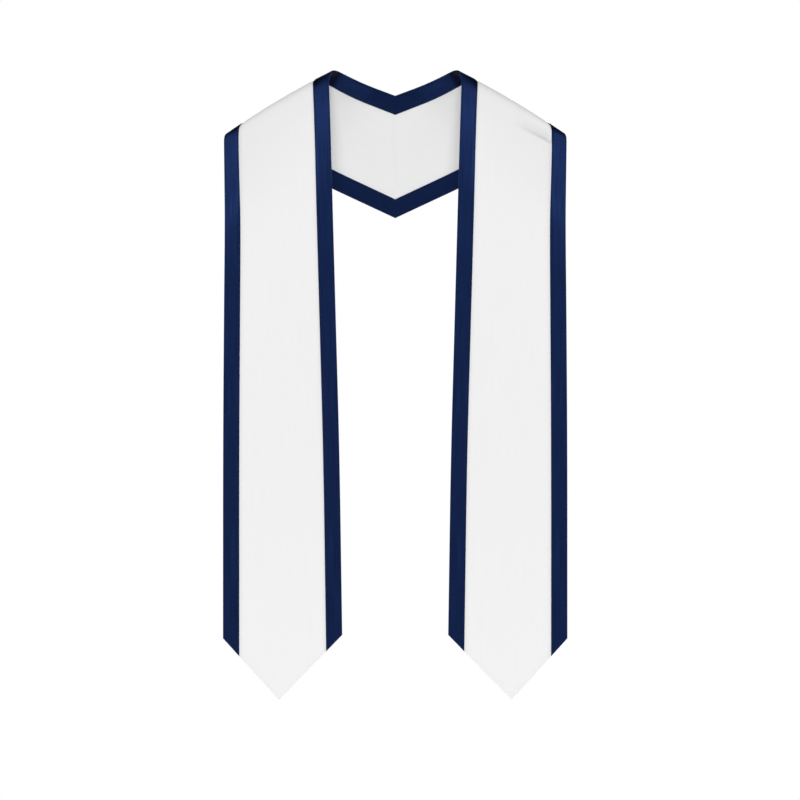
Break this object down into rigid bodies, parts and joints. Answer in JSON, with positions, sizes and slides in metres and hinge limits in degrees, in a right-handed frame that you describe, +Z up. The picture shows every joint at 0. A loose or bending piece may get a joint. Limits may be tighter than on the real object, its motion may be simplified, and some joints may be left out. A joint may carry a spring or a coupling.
{
  "type": "graduation stole",
  "caption": "Plain white satin graduation stole with navy satin binding on its long edges, a mitred centre-back seam and pointed ends, in its worn form.",
  "frame": {"origin": "midway between the two points where the stole sits on the shoulders beside the neck, at the underside of the cloth", "axes": "+Z up, the wearer faces -Y, +X to the wearer's left"},
  "size_m": [0.4014, 0.2019, 0.7341],
  "materials": {
    "white_satin": "satin weave",
    "navy_satin": "satin ribbon"
  },
  "bodies": {
    "root": {"panel_left": "white_satin", "panel_right": "white_satin", "neck_trim_left": "navy_satin", "neck_trim_right": "navy_satin", "outer_trim_left": "navy_satin", "outer_trim_right": "navy_satin"}
  },
  "joints": []
}
